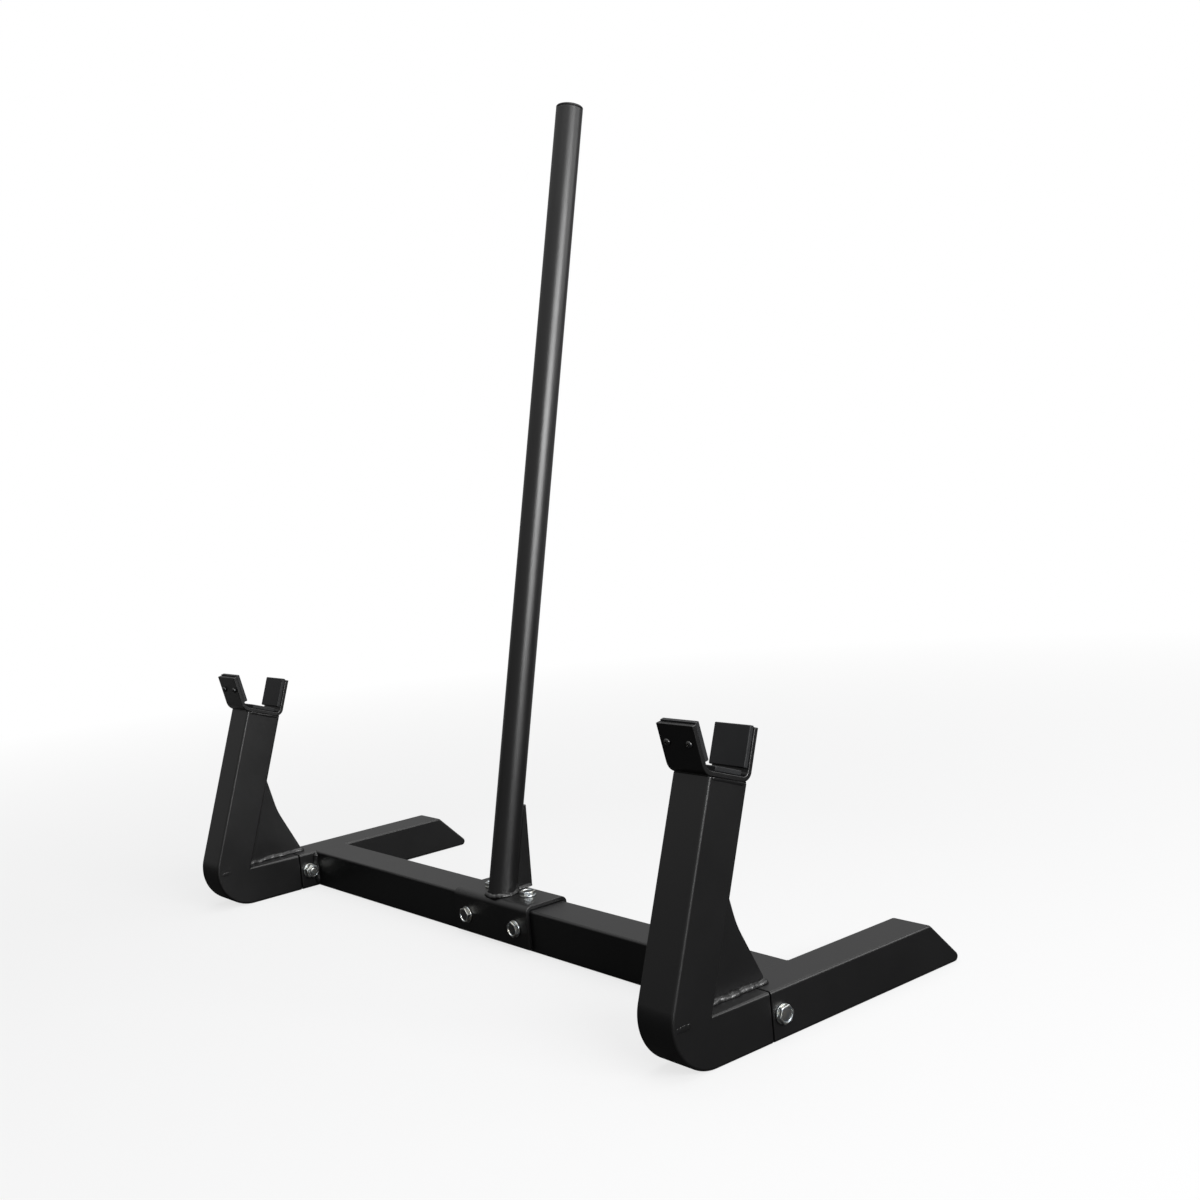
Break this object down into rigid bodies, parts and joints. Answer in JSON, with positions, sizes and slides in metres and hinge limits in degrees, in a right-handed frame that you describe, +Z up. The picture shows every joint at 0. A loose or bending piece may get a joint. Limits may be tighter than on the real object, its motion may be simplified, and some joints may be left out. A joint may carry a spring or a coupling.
{
  "type": "deadlift jack",
  "caption": "Steel rocking frame with padded bar saddles on leaning uprights and a long lever handle, used to lift a loaded barbell off the floor.",
  "frame": {"origin": "on the floor under the middle of the cross beam, with the jack standing on its beam and feet", "axes": "+X along the cross beam to the right, +Y to the back, the way the rear feet point and the handle leans, +Z up"},
  "size_m": [0.9922, 0.4052, 1.0095],
  "materials": {
    "black_powder_coat": "semi-gloss black powder coat on steel",
    "zinc_steel": "bright zinc plate",
    "black_screw_steel": "blackened steel",
    "pad_plastic": "moulded black plastic",
    "cap_plastic": "moulded black plastic"
  },
  "bodies": {
    "root": {"cross_beam": "black_powder_coat", "rear_foot_left": "black_powder_coat", "foot_end_plate_left": "black_powder_coat", "side_leg_left": "black_powder_coat", "side_upright_left": "black_powder_coat", "leg_spigot_left": "black_powder_coat", "side_gusset_left": "black_powder_coat", "pad_screw_front_a_left": "black_screw_steel", "pad_screw_front_b_left": "black_screw_steel", "pad_screw_back_a_left": "black_screw_steel", "pad_screw_back_b_left": "black_screw_steel", "pad_screw_floor_a_left": "black_screw_steel", "pad_screw_floor_b_left": "black_screw_steel", "saddle_plate_left": "black_powder_coat", "saddle_pad_front_left": "pad_plastic", "saddle_pad_back_left": "pad_plastic", "saddle_pad_floor_left": "pad_plastic", "foot_bolt_left": "zinc_steel", "foot_head_washer_left": "zinc_steel", "foot_nut_washer_left": "zinc_steel", "foot_lock_nut_left": "zinc_steel", "rear_foot_right": "black_powder_coat", "foot_end_plate_right": "black_powder_coat", "side_leg_right": "black_powder_coat", "side_upright_right": "black_powder_coat", "leg_spigot_right": "black_powder_coat", "side_gusset_right": "black_powder_coat", "pad_screw_front_a_right": "black_screw_steel", "pad_screw_front_b_right": "black_screw_steel", "pad_screw_back_a_right": "black_screw_steel", "pad_screw_back_b_right": "black_screw_steel", "pad_screw_floor_a_right": "black_screw_steel", "pad_screw_floor_b_right": "black_screw_steel", "saddle_plate_right": "black_powder_coat", "saddle_pad_front_right": "pad_plastic", "saddle_pad_back_right": "pad_plastic", "saddle_pad_floor_right": "pad_plastic", "foot_bolt_right": "zinc_steel", "foot_head_washer_right": "zinc_steel", "foot_nut_washer_right": "zinc_steel", "foot_lock_nut_right": "zinc_steel", "handle_bracket": "black_powder_coat", "bracket_bolt_left": "zinc_steel", "bracket_head_washer_left": "zinc_steel", "bracket_nut_washer_left": "zinc_steel", "bracket_lock_nut_left": "zinc_steel", "top_bolt_left": "zinc_steel", "top_washer_left": "zinc_steel", "top_weld_nut_left": "zinc_steel", "bracket_bolt_right": "zinc_steel", "bracket_head_washer_right": "zinc_steel", "bracket_nut_washer_right": "zinc_steel", "bracket_lock_nut_right": "zinc_steel", "top_bolt_right": "zinc_steel", "top_washer_right": "zinc_steel", "top_weld_nut_right": "zinc_steel", "handle_tube": "black_powder_coat", "handle_gusset": "black_powder_coat", "handle_end_cap": "cap_plastic"}
  },
  "joints": []
}
